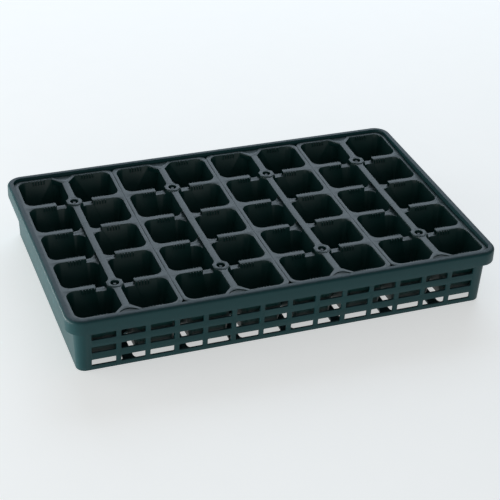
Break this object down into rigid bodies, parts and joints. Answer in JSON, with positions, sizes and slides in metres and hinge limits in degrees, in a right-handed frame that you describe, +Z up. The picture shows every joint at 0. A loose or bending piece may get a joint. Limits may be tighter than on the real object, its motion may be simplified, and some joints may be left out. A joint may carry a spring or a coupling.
{
  "type": "plug tray",
  "caption": "Slotted carrier tray in dark green plastic holding four loose strips of tapered growing cells with drain holes",
  "frame": {"origin": "middle of the tray's underside", "axes": "+X along the long side of the tray, +Y across it to the back, +Z up out of the cells"},
  "size_m": [0.38, 0.245, 0.0535],
  "materials": {
    "tray_plastic": "injection-moulded polypropylene, satin",
    "pack_plastic": "injection-moulded polypropylene, satin"
  },
  "bodies": {
    "tray": {"carrier_tray": "tray_plastic"},
    "pack_1": {"cell_pack_1": "pack_plastic"},
    "pack_2": {"cell_pack_2": "pack_plastic"},
    "pack_3": {"cell_pack_3": "pack_plastic"},
    "pack_4": {"cell_pack_4": "pack_plastic"}
  },
  "joints": [
    {"name": "pack_1_lift", "type": "slide", "parent": "tray", "child": "pack_1", "axis": [0, 0, 1], "range_m": [0, 0.07]},
    {"name": "pack_2_lift", "type": "slide", "parent": "tray", "child": "pack_2", "axis": [0, 0, 1], "range_m": [0, 0.07]},
    {"name": "pack_3_lift", "type": "slide", "parent": "tray", "child": "pack_3", "axis": [0, 0, 1], "range_m": [0, 0.07]},
    {"name": "pack_4_lift", "type": "slide", "parent": "tray", "child": "pack_4", "axis": [0, 0, 1], "range_m": [0, 0.07]}
  ]
}
